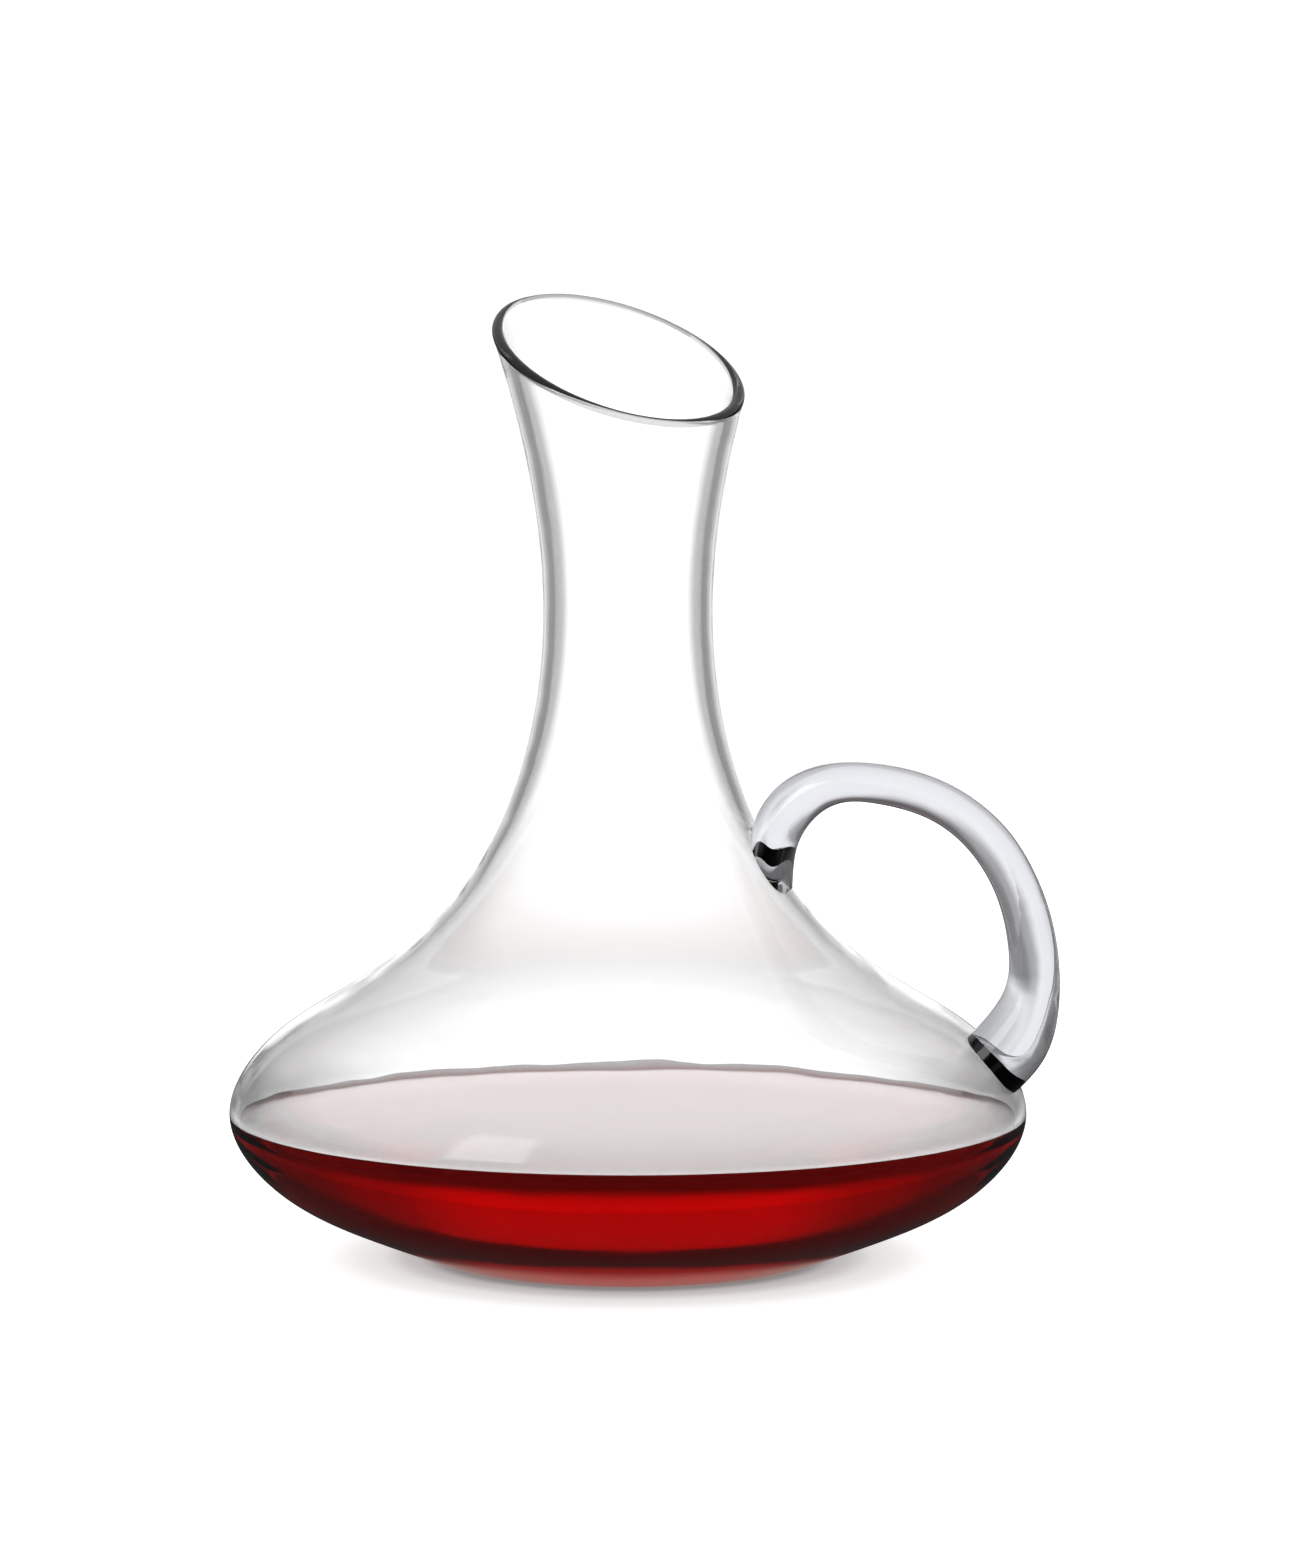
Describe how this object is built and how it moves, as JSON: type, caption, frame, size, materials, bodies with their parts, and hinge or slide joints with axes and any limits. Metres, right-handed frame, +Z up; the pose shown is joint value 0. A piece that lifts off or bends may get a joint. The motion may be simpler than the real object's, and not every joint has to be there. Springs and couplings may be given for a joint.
{
  "type": "wine decanter",
  "caption": "Blown clear glass wine decanter: a broad low bowl, a slender flaring neck with a slanted lip, a fused loop handle, and wine filled to the widest part.",
  "frame": {"origin": "on the table, on the axis of the neck, at the centre of the foot ring", "axes": "+Z up along the neck's axis, +X from the axis toward the handle, the handle's plane is XZ"},
  "size_m": [0.2153, 0.206, 0.2485],
  "materials": {
    "glass": "clear, smooth blown glass",
    "handle_glass": "clear, solid drawn glass",
    "red_wine": "clear dark red liquid with a still surface"
  },
  "bodies": {
    "root": {"vessel": "glass", "handle": "handle_glass", "wine": "red_wine"}
  },
  "joints": []
}
